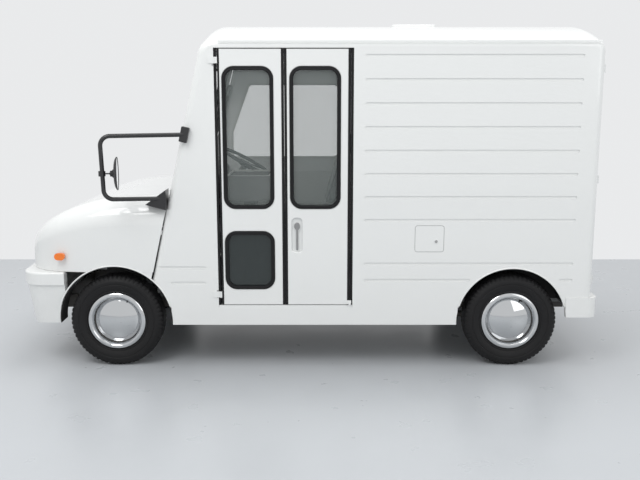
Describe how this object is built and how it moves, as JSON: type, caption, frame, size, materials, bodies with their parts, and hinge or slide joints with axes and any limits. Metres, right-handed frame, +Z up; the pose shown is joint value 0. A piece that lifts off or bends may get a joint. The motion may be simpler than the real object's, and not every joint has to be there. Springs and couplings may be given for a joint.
{
  "type": "mail delivery truck",
  "caption": "Small white walk-through mail delivery truck with a folding side door, plated wheel caps, round stalk mirrors, hinged rear doors and right-hand drive.",
  "frame": {"origin": "centre of the vehicle's footprint, on the ground under the tyres", "axes": "+X towards the rear, +Y towards the vehicle's right-hand side, +Z up; the front faces -X"},
  "size_m": [3.295, 1.7478, 1.949],
  "materials": {
    "white_paint": "gloss",
    "inner_white": "satin",
    "black_frame_paint": "satin",
    "black_rubber": "matte",
    "tyre_rubber": "matte",
    "wheel_chrome": "polished",
    "mirror_case": "satin",
    "stay_black": "satin",
    "clear_glass": "polished",
    "dark_glass": "polished",
    "lamp_glass": "polished",
    "amber_lens": "gloss",
    "red_lens": "gloss",
    "black_plastic": "matte",
    "grey_plastic": "matte",
    "lever_metal": "satin",
    "seat_vinyl": "matte",
    "cast_engine": "matte",
    "floor_paint": "matte"
  },
  "bodies": {
    "chassis": {"body_rubber_seals": "black_rubber", "chassis_frame": "black_frame_paint", "dashboard_and_tray": "grey_plastic", "engine_and_gearbox": "cast_engine", "floor_panel": "floor_paint", "front_axle_beam": "black_frame_paint", "front_bumper": "white_paint", "front_panel": "white_paint", "headlamps": "lamp_glass", "left_cab_panel": "white_paint", "left_cargo_panel": "white_paint", "left_fender": "white_paint", "left_mirror_stay": "stay_black", "rear_axle_and_springs": "black_frame_paint", "rear_bumper": "white_paint", "rear_door_frame": "white_paint", "right_body_side": "white_paint", "right_fender": "white_paint", "right_mirror_stay": "stay_black", "roof_panel": "white_paint", "roof_vent": "white_paint", "seat_pedestal": "grey_plastic", "side_marker_lamps": "amber_lens", "sill_panels": "black_frame_paint", "tail_lamps": "red_lens", "wheel_arch_liners": "black_plastic", "windscreen_frame": "white_paint", "windscreen_glass": "clear_glass"},
    "front_leaf": {"front_leaf_panel": "white_paint", "front_leaf_glass": "dark_glass", "front_leaf_rubbers": "black_rubber"},
    "rear_leaf": {"rear_leaf_panel": "white_paint", "rear_leaf_glass": "clear_glass", "rear_leaf_rubbers": "black_rubber"},
    "door_lever": {"door_lever": "lever_metal"},
    "driver_door": {"driver_door_panel": "white_paint", "driver_door_trim": "inner_white", "driver_window_glass": "clear_glass"},
    "left_rear_door": {"left_rear_door": "white_paint"},
    "right_rear_door": {"right_rear_door": "white_paint"},
    "rear_door_lever": {"rear_door_lever": "lever_metal"},
    "bonnet": {"bonnet": "white_paint"},
    "fuel_flap": {"fuel_flap": "white_paint"},
    "left_mirror_head": {"left_mirror_head": "mirror_case"},
    "right_mirror_head": {"right_mirror_head": "mirror_case"},
    "windscreen_wiper": {"windscreen_wiper": "black_plastic"},
    "steering_wheel": {"steering_wheel": "black_plastic"},
    "steering_rack": {"steering_rack": "lever_metal"},
    "left_knuckle": {"left_knuckle": "black_frame_paint"},
    "right_knuckle": {"right_knuckle": "black_frame_paint"},
    "seat_base": {"seat_base_and_cushion": "seat_vinyl"},
    "seat_backrest": {"seat_backrest": "seat_vinyl"},
    "front_left_wheel": {"front_left_wheel": "wheel_chrome", "front_left_tyre": "tyre_rubber"},
    "front_right_wheel": {"front_right_wheel": "wheel_chrome", "front_right_tyre": "tyre_rubber"},
    "rear_left_wheel": {"rear_left_wheel": "wheel_chrome", "rear_left_tyre": "tyre_rubber"},
    "rear_right_wheel": {"rear_right_wheel": "wheel_chrome", "rear_right_tyre": "tyre_rubber"}
  },
  "joints": [
    {"name": "front_leaf_hinge", "type": "hinge", "parent": "chassis", "child": "front_leaf", "pos_m": [-0.4885, -0.698, 1.07], "axis": [0, 0, 1], "range_deg": [-80, 0]},
    {"name": "rear_leaf_fold", "type": "hinge", "parent": "front_leaf", "child": "rear_leaf", "pos_m": [-0.125, -0.6675, 1.07], "axis": [0, 0, 1], "range_deg": [0, 160]},
    {"name": "door_lever_pivot", "type": "hinge", "parent": "rear_leaf", "child": "door_lever", "pos_m": [-0.058, -0.6812, 0.8372], "axis": [-1, 0, 0], "range_deg": [0, 35]},
    {"name": "driver_door_hinge", "type": "hinge", "parent": "chassis", "child": "driver_door", "pos_m": [-0.6625, 0.7005, 1.06], "axis": [0, 0, 1], "range_deg": [0, 70]},
    {"name": "left_rear_door_hinge", "type": "hinge", "parent": "chassis", "child": "left_rear_door", "pos_m": [1.6185, -0.6415, 1.07], "axis": [0, 0, 1], "range_deg": [-110, 0]},
    {"name": "right_rear_door_hinge", "type": "hinge", "parent": "chassis", "child": "right_rear_door", "pos_m": [1.6185, 0.6415, 1.07], "axis": [0, 0, 1], "range_deg": [0, 110]},
    {"name": "rear_door_lever_pivot", "type": "hinge", "parent": "right_rear_door", "child": "rear_door_lever", "pos_m": [1.6195, 0.06, 1], "axis": [1, 0, 0], "range_deg": [0, 90]},
    {"name": "bonnet_hinge", "type": "hinge", "parent": "chassis", "child": "bonnet", "pos_m": [-0.812, 0, 0.992], "axis": [0, 1, 0], "range_deg": [0, 55]},
    {"name": "fuel_flap_hinge", "type": "hinge", "parent": "chassis", "child": "fuel_flap", "pos_m": [0.601, -0.6945, 0.746], "axis": [0, 0, 1], "range_deg": [-110, 0]},
    {"name": "left_mirror_swivel", "type": "hinge", "parent": "chassis", "child": "left_mirror_head", "pos_m": [-1.0565, -0.7895, 1.121], "axis": [0, 0, 1], "range_deg": [-20, 20]},
    {"name": "right_mirror_swivel", "type": "hinge", "parent": "chassis", "child": "right_mirror_head", "pos_m": [-0.8515, 0.7895, 1.121], "axis": [0, 0, 1], "range_deg": [-20, 20]},
    {"name": "wiper_sweep", "type": "hinge", "parent": "chassis", "child": "windscreen_wiper", "pos_m": [-0.765, 0.06, 1.0426], "axis": [-0.9746, 0, 0.2238], "range_deg": [0, 100]},
    {"name": "steering_wheel_turn", "type": "hinge", "parent": "chassis", "child": "steering_wheel", "pos_m": [-0.4275, 0.35, 1.088], "axis": [0.4848, 0, 0.8746], "range_deg": [-560, 560]},
    {"name": "left_kingpin", "type": "hinge", "parent": "chassis", "child": "left_knuckle", "pos_m": [-1.0925, -0.548, 0.264], "axis": [0, 0, 1], "range_deg": [-32, 32]},
    {"name": "right_kingpin", "type": "hinge", "parent": "chassis", "child": "right_knuckle", "pos_m": [-1.0925, 0.548, 0.264], "axis": [0, 0, 1], "range_deg": [-32, 32]},
    {"name": "steering_rack_slide", "type": "slide", "parent": "chassis", "child": "steering_rack", "axis": [0, 1, 0], "range_m": [-0.055, 0.055]},
    {"name": "front_left_wheel_spin", "type": "hinge", "parent": "left_knuckle", "child": "front_left_wheel", "pos_m": [-1.0925, -0.61, 0.264], "axis": [0, 1, 0], "continuous": true},
    {"name": "rear_left_wheel_spin", "type": "hinge", "parent": "chassis", "child": "rear_left_wheel", "pos_m": [1.1575, -0.61, 0.264], "axis": [0, 1, 0], "continuous": true},
    {"name": "front_right_wheel_spin", "type": "hinge", "parent": "right_knuckle", "child": "front_right_wheel", "pos_m": [-1.0925, 0.61, 0.264], "axis": [0, 1, 0], "continuous": true},
    {"name": "rear_right_wheel_spin", "type": "hinge", "parent": "chassis", "child": "rear_right_wheel", "pos_m": [1.1575, 0.61, 0.264], "axis": [0, 1, 0], "continuous": true},
    {"name": "seat_slide", "type": "slide", "parent": "chassis", "child": "seat_base", "axis": [1, 0, 0], "range_m": [-0.08, 0.08]},
    {"name": "seat_recline", "type": "hinge", "parent": "seat_base", "child": "seat_backrest", "pos_m": [0.1345, 0.35, 0.77], "axis": [0, 1, 0], "range_deg": [-14, 35]}
  ],
  "couplings": [
    {"joint": "rear_leaf_fold", "follows": "front_leaf_hinge", "ratio": -2},
    {"joint": "right_kingpin", "follows": "left_kingpin", "ratio": 1},
    {"joint": "steering_wheel_turn", "follows": "left_kingpin", "ratio": 17},
    {"joint": "steering_rack_slide", "follows": "left_kingpin", "m_per_rad": 0.095}
  ]
}
